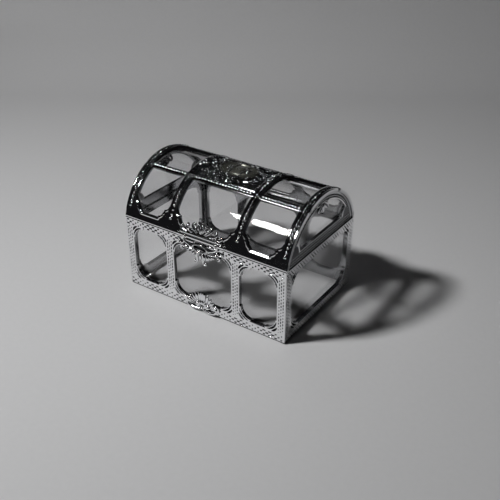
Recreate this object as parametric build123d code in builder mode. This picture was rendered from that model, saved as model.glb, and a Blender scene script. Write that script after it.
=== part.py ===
"""Treasure-chest keepsake box: a clear tray and a clear vaulted lid, cased in bright openwork.

Four mitred panels clad the tray. The lid is a barrel vault: a curved cage over a clear shell, closed by a
flat openwork lunette at each end, with a plaque and an oval medallion at the crown. The lid turns on two
pins behind the back panel. Units are millimetres. The length runs along X, the front faces -Y, up is +Z,
and the origin is the centre of the underside.
"""

import os
from math import asin, cos, pi, sin, sqrt

from build123d import *

# Overall sizes
length = 90.0
depth = 61.0
base_height = 37.5
lid_rise = 24.5

# Walls
panel_thickness = 2.0
cage_thickness = 1.8
lunette_thickness = 1.6
clear_wall = 1.2
parting_gap = 0.2

# Openwork: rails, posts and the windows between them
corner_post = 4.5
end_post = 5.2
mid_post = 4.4
centre_bay = 32.6
top_rail = 4.0
bottom_rail = 5.2
window_corner = 5.4
ear = 0.7
rim = 0.8
field_depth = 0.5

# Lid cage, measured along the outside of the vault from its lower edge
lid_band = 4.6
bead_rail_start = 27.4
bead_rail = 2.7
vault_corner = 4.6
lunette_ring = 2.9
lunette_recess = 0.6
lunette_corner = 5.0
drop_width = 12.0
drop_height = 4.6

# Medallion and applied ornaments
plaque_clearance = 0.1
medallion_width = 21.0
medallion_height = 11.5
medallion_proud = 0.5
ornament_proud = 1.5
lid_crest_width = 27.0
lid_crest_height = 9.0
lid_crest_tail = 3.6
base_crest_width = 22.0
base_crest_height = 8.6
base_crest_tail = 3.0
thumb_notch_width = 6.6
thumb_notch_height = 2.6
thumb_notch_depth = 0.9
palmette_width = 20.0
palmette_height = 10.6
palmette_foot = 2.6
palmette_lift = 1.1

# Hinges
hinge_radius = 2.0
hinge_standoff = 0.15
pin_radius = 0.8
pin_running_clearance = 0.06
pin_head_radius = 1.35
pin_head_thickness = 0.7
pin_head_gap = 0.15
knuckle_width = 4.0
lug_width = 2.4
lug_gap = 0.3
lug_root = 1.4
lug_rise = 2.6

# Friction tongue that holds the lid shut
tongue_width = 10.0
tongue_thickness = 1.3
tongue_reach = 3.8
tongue_rise = 3.6
tongue_gap = 0.25

# Values worked out from the sizes above
half_length = length / 2
half_depth = depth / 2
vault_radius = (half_depth**2 + lid_rise**2) / (2 * lid_rise)
vault_axis_z = base_height + lid_rise - vault_radius
half_vault_angle = asin(half_depth / vault_radius)
lid_floor = base_height + parting_gap
shell_radius = vault_radius - cage_thickness
shell_inner_radius = shell_radius - clear_wall
shell_half_length = half_length - lunette_thickness - lunette_recess
mid_post_x = (centre_bay + mid_post) / 2
side_bay = half_length - corner_post - mid_post - centre_bay / 2
side_bay_x = centre_bay / 2 + mid_post + side_bay / 2
tray_half_depth = half_depth - panel_thickness
hinge_y = half_depth + hinge_radius + hinge_standoff
hinge_z = base_height + parting_gap / 2

front_face = Plane(origin=(0, -half_depth, 0), x_dir=(1, 0, 0), z_dir=(0, -1, 0))
back_face = Plane(origin=(0, half_depth, 0), x_dir=(-1, 0, 0), z_dir=(0, 1, 0))
left_face = Plane(origin=(-half_length, 0, 0), x_dir=(0, -1, 0), z_dir=(-1, 0, 0))
right_face = Plane(origin=(half_length, 0, 0), x_dir=(0, 1, 0), z_dir=(1, 0, 0))


os.makedirs("parts", exist_ok=True)


def save(part, label):
    """Labels a finished piece and writes it as its own STEP file."""
    part.label = label
    export_step(part, f"parts/{label}.step")


def window_outline(width, height, corner, ends=(-1, 1)):
    """A rectangle with a quarter-round bracket, ending in square ears, in each corner of the given ends."""
    bracket = corner + ear
    with BuildSketch(mode=Mode.PRIVATE) as outline:
        Rectangle(width, height)
        for end in ends:
            for side in (-1, 1):
                with Locations((side * (width - bracket) / 2, end * (height - bracket) / 2)):
                    Rectangle(bracket, bracket, mode=Mode.SUBTRACT)
                with Locations((side * (width / 2 - bracket), end * (height / 2 - bracket))):
                    Circle(corner)
    return outline.sketch


def ornament_outline(half_width, peak, tail, lobes):
    """The upper edge of a crest as lobes of falling height, closed along a straight foot at y = 0."""
    step = half_width / lobes
    tops = [tail + (peak - tail) * cos(pi / 2 * n / lobes) for n in range(lobes + 1)]
    right = [(n * step, tops[n]) for n in range(lobes + 1)]
    left = [(-x, y) for x, y in reversed(right[1:])]
    edge = left + right
    with BuildSketch(mode=Mode.PRIVATE) as outline:
        with BuildLine():
            for start, end in zip(edge, edge[1:]):
                SagittaArc(start, end, step / 5)
            Polyline(edge[-1], (half_width, 0), (-half_width, 0), edge[0])
        make_face()
    return outline.sketch


def openwork_panel(face, span, bays):
    """A mitred upright panel with cusped windows and an ornament field sunk between raised rims."""
    plan = Plane(origin=face.origin, x_dir=face.x_dir, z_dir=(0, 0, 1))
    window_height = base_height - top_rail - bottom_rail
    window_z = bottom_rail + window_height / 2
    with BuildPart() as panel:
        with BuildSketch(plan):
            with BuildLine():
                Polyline(
                    (-span / 2, 0),
                    (span / 2, 0),
                    (span / 2 - panel_thickness, panel_thickness),
                    (-span / 2 + panel_thickness, panel_thickness),
                    close=True,
                )
            make_face()
        extrude(amount=base_height)
        with BuildSketch(face):
            for x, width in bays:
                with Locations((x, window_z)):
                    add(window_outline(width, window_height, window_corner))
        extrude(amount=-panel_thickness, mode=Mode.SUBTRACT)
        with BuildSketch(face):
            with Locations((0, base_height / 2)):
                Rectangle(span - 2 * rim, base_height - 2 * rim)
            for x, width in bays:
                with Locations((x, window_z)):
                    rimmed = (width + 2 * rim, window_height + 2 * rim, window_corner - rim)
                    add(window_outline(*rimmed), mode=Mode.SUBTRACT)
        extrude(amount=-field_depth, mode=Mode.SUBTRACT)
    return panel.part


front_bays = [(0, centre_bay), (-side_bay_x, side_bay), (side_bay_x, side_bay)]
end_bays = [(0, depth - 2 * end_post)]

# --- Base: clear tray -----------------------------------------------------------------------------
with BuildPart() as tray:
    with BuildSketch():
        Rectangle(length - 2 * panel_thickness, depth - 2 * panel_thickness)
    extrude(amount=base_height)
    with BuildSketch(Plane.XY.offset(clear_wall)):
        wall_both_sides = 2 * (panel_thickness + clear_wall)
        Rectangle(length - wall_both_sides, depth - wall_both_sides)
    extrude(amount=base_height, mode=Mode.SUBTRACT)
save(tray.part, "base_tray")

# --- Base: four mitred openwork panels ------------------------------------------------------------
save(openwork_panel(front_face, length, front_bays), "base_front_panel")
save(openwork_panel(left_face, depth, end_bays), "base_left_panel")
save(openwork_panel(right_face, depth, end_bays), "base_right_panel")

with BuildPart() as back_panel:
    add(openwork_panel(back_face, length, front_bays))
    for x in (-mid_post_x, mid_post_x):
        with BuildSketch(Plane.YZ.offset(x - knuckle_width / 2)):
            with Locations((hinge_y, hinge_z)):
                Circle(hinge_radius)
            with BuildLine():
                Polyline(
                    (half_depth - lug_root, hinge_z - lug_rise),
                    (half_depth - lug_root, base_height - rim),
                    (half_depth, base_height - parting_gap),
                    (hinge_y, hinge_z),
                    (hinge_y, hinge_z - hinge_radius),
                    (half_depth, hinge_z - lug_rise),
                    close=True,
                )
            make_face()
            with Locations((hinge_y, hinge_z)):
                Circle(pin_radius, mode=Mode.SUBTRACT)
        extrude(amount=knuckle_width)
save(back_panel.part, "base_back_panel")

# --- Base: applied ornaments on the front panel ---------------------------------------------------
with BuildPart() as base_crest:
    crest_foot = Plane(
        origin=(0, -half_depth, base_height), x_dir=(-1, 0, 0), z_dir=(0, -1, 0)
    )
    with BuildSketch(crest_foot):
        add(ornament_outline(base_crest_width / 2, base_crest_height, base_crest_tail, 4))
    extrude(amount=ornament_proud)
    notch_y = base_height - thumb_notch_height / 2
    with BuildSketch(front_face.offset(ornament_proud)):
        with Locations((0, notch_y)):
            Rectangle(thumb_notch_width, thumb_notch_height)
    extrude(amount=-thumb_notch_depth, mode=Mode.SUBTRACT)
save(base_crest.part, "base_crest")

with BuildPart() as palmette:
    with BuildSketch(Plane(origin=(0, -half_depth, palmette_lift), x_dir=(1, 0, 0), z_dir=(0, -1, 0))):
        add(ornament_outline(palmette_width / 2, palmette_height, palmette_foot, 5))
    extrude(amount=ornament_proud)
save(palmette.part, "base_palmette")

# --- Hinge pins, headed on their outer ends -------------------------------------------------------
pin_reach = knuckle_width / 2 + lug_gap + lug_width
for side, label in ((-1, "hinge_pin_left"), (1, "hinge_pin_right")):
    pin_start = side * (mid_post_x - pin_reach)
    head_start = side * (mid_post_x + pin_reach + pin_head_gap)
    with BuildPart() as pin:
        with BuildSketch(Plane(origin=(pin_start, hinge_y, hinge_z), z_dir=(side, 0, 0))):
            Circle(pin_radius)
        extrude(amount=2 * pin_reach + pin_head_gap)
        with BuildSketch(Plane(origin=(head_start, hinge_y, hinge_z), z_dir=(side, 0, 0))):
            Circle(pin_head_radius)
        extrude(amount=pin_head_thickness)
        head_rim = pin.faces().sort_by(Axis.X)[-1 if side > 0 else 0].edges()
        fillet(head_rim, pin_head_thickness / 2)
    save(pin.part, label)

# --- Lid: clear vaulted shell ---------------------------------------------------------------------
def vault_solid(radius, start_x, end_x):
    """The part of a cylinder about the vault's axis that stands above the lid's lower edge."""
    with BuildPart(mode=Mode.PRIVATE) as solid:
        with BuildSketch(Plane.YZ.offset(start_x)):
            with Locations((0, vault_axis_z)):
                Circle(radius)
            with Locations((0, lid_floor)):
                Rectangle(4 * radius, 4 * radius, align=(Align.CENTER, Align.MAX), mode=Mode.SUBTRACT)
        extrude(amount=end_x - start_x)
    return solid.part


def vault_plane(x, arc):
    """The plane that touches the vault's outside at x, an arc's length from the lid's lower front edge."""
    angle = arc / vault_radius - half_vault_angle
    touch = (x, vault_radius * sin(angle), vault_axis_z + vault_radius * cos(angle))
    return Plane(origin=touch, x_dir=(1, 0, 0), z_dir=(0, sin(angle), cos(angle)))


def chord(arc):
    """The straight width of a stretch of the vault's outside that is arc long."""
    return 2 * vault_radius * sin(arc / vault_radius / 2)


with BuildPart() as shell:
    add(vault_solid(shell_radius, -shell_half_length, shell_half_length))
    inside = shell_half_length - clear_wall
    add(vault_solid(shell_inner_radius, -inside, inside), mode=Mode.SUBTRACT)
save(shell.part, "lid_shell")

# --- Lid: openwork cage over the vault ------------------------------------------------------------
vault_arc = 2 * half_vault_angle * vault_radius
pane_arc = bead_rail_start - lid_band
pane_middle = lid_band + pane_arc / 2
crown_arc = vault_arc - 2 * (bead_rail_start + bead_rail)
cut_depth = vault_radius / 2

with BuildPart() as cage:
    add(vault_solid(vault_radius, -half_length, half_length))
    add(vault_solid(shell_radius, -half_length, half_length), mode=Mode.SUBTRACT)
    for x, width in front_bays:
        for arc, lower_end in ((pane_middle, -1), (vault_arc - pane_middle, 1)):
            with BuildSketch(vault_plane(x, arc)):
                add(window_outline(width, chord(pane_arc), vault_corner, (lower_end,)))
            extrude(amount=-cut_depth, mode=Mode.SUBTRACT)
        with BuildSketch(vault_plane(x, vault_arc / 2)):
            Rectangle(width, chord(crown_arc))
        extrude(amount=-cut_depth, mode=Mode.SUBTRACT)
    ribs = [
        (-half_length, corner_post),
        (-mid_post_x - mid_post / 2, mid_post),
        (mid_post_x - mid_post / 2, mid_post),
        (half_length - corner_post, corner_post),
    ]
    for start, width in ribs:
        with BuildSketch(Plane.YZ.offset(start + rim)):
            with Locations((0, vault_axis_z)):
                Circle(vault_radius)
                Circle(vault_radius - field_depth, mode=Mode.SUBTRACT)
            with Locations((0, lid_floor + rim)):
                Rectangle(4 * depth, 4 * depth, align=(Align.CENTER, Align.MAX), mode=Mode.SUBTRACT)
        extrude(amount=width - 2 * rim, mode=Mode.SUBTRACT)
    with BuildSketch(Plane.YZ.offset(-half_length + rim)):
        with Locations((0, vault_axis_z)):
            Circle(vault_radius)
            Circle(vault_radius - field_depth, mode=Mode.SUBTRACT)
        with Locations((0, lid_floor + rim)):
            Rectangle(4 * depth, lid_band - 2 * rim, align=(Align.CENTER, Align.MIN), mode=Mode.INTERSECT)
    extrude(amount=length - 2 * rim, mode=Mode.SUBTRACT)
    for hinge_x in (-mid_post_x, mid_post_x):
        for lug_x in (knuckle_width / 2 + lug_gap, -knuckle_width / 2 - lug_gap - lug_width):
            with BuildSketch(Plane.YZ.offset(hinge_x + lug_x)):
                with Locations((hinge_y, hinge_z)):
                    Circle(hinge_radius)
                with BuildLine():
                    Polyline(
                        (half_depth - lug_root, lid_floor),
                        (half_depth, lid_floor),
                        (hinge_y, hinge_z),
                        (hinge_y, hinge_z + hinge_radius),
                        (half_depth - lug_root, hinge_z + lug_rise),
                        close=True,
                    )
                make_face()
                with Locations((hinge_y, hinge_z)):
                    Circle(pin_radius + pin_running_clearance, mode=Mode.SUBTRACT)
            extrude(amount=lug_width)
save(cage.part, "lid_cage")


# --- Lid: flat openwork lunettes that close the ends of the vault ---------------------------------
def lunette(face):
    """A half-round openwork plate with a bottom rail, bracketed corners and a drop hanging at its crown."""
    opening_radius = shell_radius - lunette_ring
    opening_floor = lid_floor + lid_band
    opening_half_width = sqrt(opening_radius**2 - (opening_floor - vault_axis_z) ** 2)
    plate_plane = face.offset(-lunette_recess)
    with BuildPart() as plate:
        with BuildSketch(plate_plane):
            with Locations((0, vault_axis_z)):
                Circle(shell_radius)
            with Locations((0, lid_floor)):
                Rectangle(4 * depth, 4 * depth, align=(Align.CENTER, Align.MAX), mode=Mode.SUBTRACT)
        extrude(amount=-lunette_thickness)
        with BuildSketch(plate_plane):
            with Locations((0, vault_axis_z)):
                Circle(opening_radius)
            with Locations((0, opening_floor)):
                Rectangle(4 * depth, 4 * depth, align=(Align.CENTER, Align.MAX), mode=Mode.SUBTRACT)
            for side in (-1, 1):
                with Locations((side * opening_half_width, opening_floor)):
                    Circle(lunette_corner, mode=Mode.SUBTRACT)
            with Locations((0, vault_axis_z + opening_radius)):
                Ellipse(drop_width / 2, drop_height, mode=Mode.SUBTRACT)
        extrude(amount=-lunette_thickness, mode=Mode.SUBTRACT)
    return plate.part


save(lunette(left_face), "lid_left_lunette")
save(lunette(right_face), "lid_right_lunette")

# --- Lid: plaque in the crown, and the oval medallion let into it ---------------------------------
with BuildPart() as plaque:
    add(vault_solid(vault_radius - field_depth, -half_length, half_length))
    add(vault_solid(shell_radius, -half_length, half_length), mode=Mode.SUBTRACT)
    with BuildSketch(vault_plane(0, vault_arc / 2)):
        Rectangle(centre_bay - 2 * plaque_clearance, chord(crown_arc) - 2 * plaque_clearance)
        Ellipse(medallion_width / 2, medallion_height / 2, mode=Mode.SUBTRACT)
    extrude(amount=-cut_depth, mode=Mode.INTERSECT)
save(plaque.part, "lid_plaque")

with BuildPart() as medallion:
    add(vault_solid(vault_radius + medallion_proud, -half_length, half_length))
    add(vault_solid(shell_radius, -half_length, half_length), mode=Mode.SUBTRACT)
    with BuildSketch(vault_plane(0, vault_arc / 2).offset(2 * medallion_proud)):
        Ellipse(medallion_width / 2, medallion_height / 2)
    extrude(amount=-cut_depth, mode=Mode.INTERSECT)
save(medallion.part, "lid_medallion")

# --- Lid: crest applied to the front band, wrapped round the vault --------------------------------
with BuildPart() as lid_crest:
    crest_plane = vault_plane(0, 0)
    add(vault_solid(vault_radius + ornament_proud, -half_length, half_length))
    add(vault_solid(vault_radius, -half_length, half_length), mode=Mode.SUBTRACT)
    with BuildSketch(crest_plane.offset(2 * ornament_proud)):
        add(ornament_outline(lid_crest_width / 2, lid_crest_height, lid_crest_tail, 4))
    extrude(amount=-cut_depth, mode=Mode.INTERSECT)
save(lid_crest.part, "lid_crest")

# --- Lid: friction tongue behind the front wall ---------------------------------------------------
tongue_y = -(tray_half_depth - clear_wall - tongue_gap)
with BuildPart() as tongue:
    with BuildSketch(Plane.YZ.offset(-tongue_width / 2)):
        with Locations((tongue_y, base_height - tongue_reach)):
            Rectangle(tongue_thickness, tongue_reach + parting_gap + tongue_rise, align=Align.MIN)
        with Locations((0, vault_axis_z)):
            Circle(shell_inner_radius, mode=Mode.INTERSECT)
    extrude(amount=tongue_width)
save(tongue.part, "catch_tongue")
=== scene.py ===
from math import acos, asin, cos, pi, radians, sin, sqrt

import bpy
import numpy as np
from mathutils import Matrix, Vector


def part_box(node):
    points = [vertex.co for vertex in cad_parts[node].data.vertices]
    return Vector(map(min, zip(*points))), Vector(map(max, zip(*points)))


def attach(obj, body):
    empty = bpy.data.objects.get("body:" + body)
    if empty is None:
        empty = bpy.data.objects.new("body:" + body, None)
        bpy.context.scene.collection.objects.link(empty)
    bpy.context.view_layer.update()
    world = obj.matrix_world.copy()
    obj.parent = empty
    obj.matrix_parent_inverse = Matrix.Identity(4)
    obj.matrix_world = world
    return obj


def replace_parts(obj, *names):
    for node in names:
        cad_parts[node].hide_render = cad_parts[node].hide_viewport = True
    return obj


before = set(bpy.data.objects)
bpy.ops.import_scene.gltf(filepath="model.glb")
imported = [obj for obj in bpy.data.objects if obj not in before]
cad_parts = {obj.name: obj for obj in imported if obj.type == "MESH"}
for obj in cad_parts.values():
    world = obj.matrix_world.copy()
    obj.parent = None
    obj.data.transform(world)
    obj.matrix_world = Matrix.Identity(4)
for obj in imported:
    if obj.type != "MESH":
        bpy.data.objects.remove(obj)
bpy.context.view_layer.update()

# ---- Tray ----------------------------------------------------------------------------------------
# The tray is moulded in clear polystyrene with rounded upright corners. It is the floor and the walls of the
# box, and the plated panels are glued to the outside of it.
mm = 0.001
tray_wall = 1.2
tray_corner = 1.5


def box_mm(node):
    """The lowest and highest corners of a CAD node, in millimetres."""
    low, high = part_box(node)
    return np.array(low) / mm, np.array(high) / mm


def shader_nodes(owner):
    """Empties a material's or a world's nodes and returns the functions that add and link new ones."""
    owner.use_nodes = True
    tree = owner.node_tree
    tree.nodes.clear()

    def add(kind, **sockets):
        node = tree.nodes.new("ShaderNode" + kind)
        for socket, value in sockets.items():
            node.inputs[socket.replace("_", " ")].default_value = value
        return node

    return add, tree.links.new


def shader_material(name):
    """An empty material and the functions that add and link its nodes."""
    material = bpy.data.materials.new(name)
    return (material, *shader_nodes(material))


def moulded_bump(add, link, scale, strength, distance):
    """The faint unevenness of a moulded surface, as a normal."""
    place = add("TexCoord")
    noise = add("TexNoise", Scale=scale, Detail=2.0, Roughness=0.5)
    bump = add("Bump", Strength=strength, Distance=distance)
    link(place.outputs["Object"], noise.inputs["Vector"])
    link(noise.outputs["Fac"], bump.inputs["Height"])
    return noise, bump


def clear_plastic():
    """Clear polystyrene, with flow marks. Lamp light goes straight through it."""
    material, add, link = shader_material("clear_polystyrene")
    plastic = add("BsdfPrincipled", Base_Color=(0.975, 0.975, 0.98, 1), IOR=1.5, Transmission_Weight=1.0)
    noise, bump = moulded_bump(add, link, 55.0, 0.10, 0.0004)
    haze = add("MapRange", To_Min=0.002, To_Max=0.015)
    link(noise.outputs["Fac"], haze.inputs["Value"])
    link(haze.outputs["Result"], plastic.inputs["Roughness"])
    link(bump.outputs["Normal"], plastic.inputs["Normal"])
    path = add("LightPath")
    slant = add("LayerWeight", Blend=0.5)
    loss = add("MapRange", To_Min=0.975, To_Max=0.74)
    through = add("BsdfTransparent")
    mix = add("MixShader")
    link(slant.outputs["Facing"], loss.inputs["Value"])
    link(loss.outputs["Result"], through.inputs["Color"])
    link(path.outputs["Is Shadow Ray"], mix.inputs["Fac"])
    link(plastic.outputs["BSDF"], mix.inputs[1])
    link(through.outputs["BSDF"], mix.inputs[2])
    link(mix.outputs["Shader"], add("OutputMaterial").inputs["Surface"])
    return material


def new_piece(name, vertices, faces, material, body, sharp=40):
    """A mesh piece from points in millimetres, shaded smooth between its sharp edges, riding on a body."""
    mesh = bpy.data.meshes.new(name)
    mesh.from_pydata((np.asarray(vertices) * mm).tolist(), [], faces)
    mesh.shade_smooth()
    mesh.set_sharp_from_angle(angle=radians(sharp))
    mesh.materials.append(material)
    piece = bpy.data.objects.new(name, mesh)
    bpy.context.scene.collection.objects.link(piece)
    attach(piece, body)
    return piece


def round_edges(piece, width, angle=50):
    """Rounds the sharp edges of a piece by a width in millimetres."""
    bevel = piece.modifiers.new("rounded_edges", "BEVEL")
    bevel.width = width * mm
    bevel.segments = 3
    bevel.limit_method = "ANGLE"
    bevel.angle_limit = radians(angle)


def rounded_rectangle(low, high, radius, z, steps=8):
    """Points round a rectangle with rounded corners, at height z."""
    points = []
    corners = [(high[0], high[1]), (low[0], high[1]), (low[0], low[1]), (high[0], low[1])]
    for turn, (x, y) in enumerate(corners):
        centre_x = x - radius if x == high[0] else x + radius
        centre_y = y - radius if y == high[1] else y + radius
        for step in range(steps + 1):
            angle = (turn + step / steps) * pi / 2
            points.append((centre_x + radius * cos(angle), centre_y + radius * sin(angle), z))
    return points


clear = clear_plastic()
tray_low, tray_high = box_mm("base_tray")
loops = [
    rounded_rectangle(tray_low, tray_high, tray_corner, tray_low[2]),
    rounded_rectangle(tray_low, tray_high, tray_corner, tray_high[2]),
    rounded_rectangle(tray_low + tray_wall, tray_high - tray_wall, tray_corner / 2, tray_high[2]),
    rounded_rectangle(tray_low + tray_wall, tray_high - tray_wall, tray_corner / 2, tray_low[2] + tray_wall),
]
around = len(loops[0])
faces = [list(reversed(range(around))), list(range(3 * around, 4 * around))]
for level in range(3):
    for k in range(around):
        a, b = level * around + k, level * around + (k + 1) % around
        faces.append([a, b, b + around, a + around])
tray = new_piece("clear_tray", sum(loops, []), faces, clear, "base")
round_edges(tray, 0.25)
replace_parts(tray, "base_tray")

# ---- Base panels ---------------------------------------------------------------------------------
# Four openwork panels of moulded plastic, vacuum plated as bright as chrome and mitred at the corners. Short
# cuts run along the rails and posts, and blind holes are sunk in the brackets in the window corners.
panel_thickness = 1.95
cell = 0.2
corner_post, end_post, mid_post = 4.5, 5.2, 4.4
centre_bay = 32.6
top_rail, bottom_rail = 4.0, 5.2
window_corner, ear = 5.4, 0.7
bracket = window_corner + ear
# A row of cuts has a pitch, a spacing between its three lines, and a half length for each cut.
rail_cuts, end_rail_cuts, post_cuts = (3.1, 1.05, 0.85), (1.9, 1.05, 0.5), (1.7, 1.1, 0.5)
cut_depth, cut_half_width = 0.22, 0.25
post_cut_reach = 1.7
sill_height, sill_depth = 0.22, 0.75
foot_height, foot_recess = 0.85, 0.35
# A hole in a bracket has a half width, a half angle in degrees, and a distance from the window's edge.
bracket_holes = ((0.40, 38, 0.75), (0.48, 17, 2.1))
hole_depth = 0.9


def bright_plating():
    """Vacuum plating over plastic: a mirror whose polish varies at random, with shade painted into its colour
    that darkens it to near black in the recesses.
    """
    material, add, link = shader_material("bright_plating")
    metal = add("BsdfPrincipled", Metallic=1.0)
    noise, bump = moulded_bump(add, link, 900.0, 0.12, 0.00005)
    smudge_place = add("TexCoord")
    smudge = add("TexNoise", Scale=70.0, Detail=4.0, Roughness=0.6)
    link(smudge_place.outputs["Object"], smudge.inputs["Vector"])
    # Painted shade: a per-point attribute turns the plating's colour from near white to near black.
    painted_shade = add("Attribute")
    painted_shade.attribute_name = "painted_shade"
    plating_and_shade = add("Mix")
    plating_and_shade.data_type = "RGBA"
    plating_and_shade.inputs["A"].default_value = (0.93, 0.935, 0.95, 1)
    plating_and_shade.inputs["B"].default_value = (0.07, 0.071, 0.075, 1)
    link(painted_shade.outputs["Fac"], plating_and_shade.inputs["Factor"])
    link(plating_and_shade.outputs["Result"], metal.inputs["Base Color"])
    polish = add("MapRange", From_Min=0.3, From_Max=0.75, To_Min=0.05, To_Max=0.11)
    link(smudge.outputs["Fac"], polish.inputs["Value"])
    link(polish.outputs["Result"], metal.inputs["Roughness"])
    link(bump.outputs["Normal"], metal.inputs["Normal"])
    link(metal.outputs["BSDF"], add("OutputMaterial").inputs["Surface"])
    return material


def rectangle_distance(u, v, low, high):
    """How far each point is outside a rectangle, negative inside it."""
    du = np.maximum(low[0] - u, u - high[0])
    dv = np.maximum(low[1] - v, v - high[1])
    return np.hypot(np.maximum(du, 0), np.maximum(dv, 0)) + np.minimum(np.maximum(du, dv), 0)


def window_distance(u, v, low, high, steps, arc, ends=(-1, 1)):
    """How far each point is outside a window with stepped, arched corners at the given ends."""
    trim_low, trim_high = -1 in ends, 1 in ends
    distance = np.full(u.shape, 99.0)
    for inset_u, inset_v in steps:
        inner_low = (low[0] + inset_u, low[1] + trim_low * inset_v)
        inner_high = (high[0] - inset_u, high[1] - trim_high * inset_v)
        distance = np.minimum(distance, rectangle_distance(u, v, inner_low, inner_high))
    for (_, inset_v), (inset_u, _) in zip(steps, steps[1:]):
        for end in ends:
            centre_v = low[1] + inset_v if end < 0 else high[1] - inset_v
            for centre_u in (low[0] + inset_u, high[0] - inset_u):
                distance = np.minimum(distance, np.hypot(u - centre_u, v - centre_v) - arc)
    return distance


def ridge(distance, half_width):
    """A smooth ridge, 1 along its middle and 0 from half_width on."""
    return 0.5 + 0.5 * np.cos(pi * np.clip(distance / half_width, -1, 1))


def pearls(along, across, pitch, half_length, half_width):
    """A row of rounded pearls or dashes, each 1 at its top."""
    offset = along - pitch * np.round(along / pitch)
    return np.sqrt(np.maximum(0, 1 - (offset / half_length) ** 2 - (across / half_width) ** 2))


def cuts(along, across, pitch, spacing, half_length):
    """Three rows of short cuts, staggered from row to row: 1 in each cut."""
    row = np.clip(np.round(across / spacing), -1, 1)
    shift = 0.5 * (row == 0)
    number = np.round(along / pitch - shift) + shift
    reach = half_length * (0.75 + 0.35 * np.sin(5.1 * number + 2.7 * row))
    ends = np.clip((reach - np.abs(along - pitch * number)) / 0.2 + 0.5, 0, 1)
    return ends * np.clip((cut_half_width - np.abs(across - spacing * row)) / 0.12 + 0.5, 0, 1)


def nearest_offset(u, middles):
    """How far each point is from the nearest of some middles, with its sign."""
    offset = np.full(u.shape, 99.0)
    for middle in middles:
        offset = np.where(np.abs(u - middle) < np.abs(offset), u - middle, offset)
    return offset


def running_scroll(along, across, pitch, half_height, line):
    """A wave of stem with a curl and a berry in each of its hollows."""
    stem = ridge(across - 0.62 * half_height * np.sin(2 * pi * along / pitch), line)
    curl_radius = 0.40 * half_height
    k = np.round(along / pitch * 2 - 0.5)
    centre_along = (k + 0.5) * pitch / 2
    centre_across = np.where(k % 2 == 0, -0.48, 0.48) * half_height
    reach = np.hypot(along - centre_along, across - centre_across)
    curl = ridge(reach - curl_radius, 0.75 * line)
    return np.maximum(stem, np.maximum(0.9 * curl, 0.8 * ridge(reach, 0.6 * line)))


def paint_shade(piece, darkness):
    """Stores the painted shade of a piece: how dark its plating is painted at each point."""
    painted_shade = piece.data.attributes.new("painted_shade", "FLOAT", "POINT")
    painted_shade.data.foreach_set("value", np.clip(darkness, 0, 1))


def plate(name, low, high, edge, relief, lay, depth, cell, body, shade_from):
    """An embossed plated plate, closed at its back. Shade is painted on its plating, darker below the height
    in its last argument.

    It is kept where edge(u, v) is positive, raised by relief(u, v) and laid on by lay(u, v, height).
    """
    across = np.linspace(low[0], high[0], round((high[0] - low[0]) / cell) + 1)
    up = np.linspace(low[1], high[1], round((high[1] - low[1]) / cell) + 1)
    u, v = np.meshgrid(across, up, indexing="ij")
    kept = edge((u[:-1, :-1] + u[1:, 1:]) / 2, (v[:-1, :-1] + v[1:, 1:]) / 2) > 0
    wide = np.pad(kept, 1)
    beside = wide[:-1, :-1].astype(int) + wide[1:, :-1] + wide[:-1, 1:] + wide[1:, 1:]
    on_rim = (beside > 0) & (beside < 4)
    step = cell / 50
    for _ in range(4):
        ru, rv = u[on_rim], v[on_rim]
        miss = edge(ru, rv)
        slope_u = (edge(ru + step, rv) - edge(ru - step, rv)) / (2 * step)
        slope_v = (edge(ru, rv + step) - edge(ru, rv - step)) / (2 * step)
        steep = np.maximum(slope_u**2 + slope_v**2, 0.25)
        u[on_rim] = ru - np.clip(miss * slope_u / steep, -cell / 2, cell / 2)
        v[on_rim] = rv - np.clip(miss * slope_v / steep, -cell / 2, cell / 2)
    used = beside > 0
    index = np.cumsum(used.ravel()).reshape(used.shape) - 1
    count = int(used.sum())
    u, v = u[used], v[used]
    height = relief(u, v)
    front = lay(u, v, height)
    back = lay(u, v, np.full(count, -depth))
    i, j = np.nonzero(kept)
    quads = np.stack([index[i, j], index[i + 1, j], index[i + 1, j + 1], index[i, j + 1]], 1)
    walls = []
    towards = (((-1, 0), (0, 0), (0, 1)), ((1, 0), (1, 1), (1, 0)))
    towards += (((0, -1), (1, 0), (0, 0)), ((0, 1), (0, 1), (1, 1)))
    for (step_i, step_j), start, end in towards:
        open_side = ~wide[i + 1 + step_i, j + 1 + step_j]
        a = index[i[open_side] + start[0], j[open_side] + start[1]]
        b = index[i[open_side] + end[0], j[open_side] + end[1]]
        walls.append(np.stack([a, b, b + count, a + count], 1))
    points = np.concatenate([front, back])
    faces = np.concatenate([quads, quads[:, ::-1] + count] + walls).tolist()
    piece = new_piece(name, points, faces, plating, body, 48)
    # Painted shade: the plating is painted dark where the relief sinks below that height, and the back faces
    # are painted half dark.
    paint_shade(piece, np.concatenate([(shade_from - height) / 0.15, np.full(count, 0.5)]))
    return piece


plating = bright_plating()
half_length, _, base_height = box_mm("base_front_panel")[1]
half_depth = box_mm("base_right_panel")[1][1]
side_bay = half_length - corner_post - mid_post - centre_bay / 2


def wall_surface(facing, half_span, post):
    """Lays a panel on one side of the base. Its ends follow the mitre, so height moves them along too."""

    def lay(u, v, height):
        towards_end = np.clip((np.abs(u) - half_span + post) / post, 0, 1)
        along = u + np.sign(u) * towards_end * height
        if facing == "front":
            return np.stack([along, -half_depth - height, v], 1)
        if facing == "back":
            return np.stack([-along, half_depth + height, v], 1)
        side = 1 if facing == "right" else -1
        return np.stack([side * (half_length + height), side * along, v], 1)

    return lay


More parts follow.
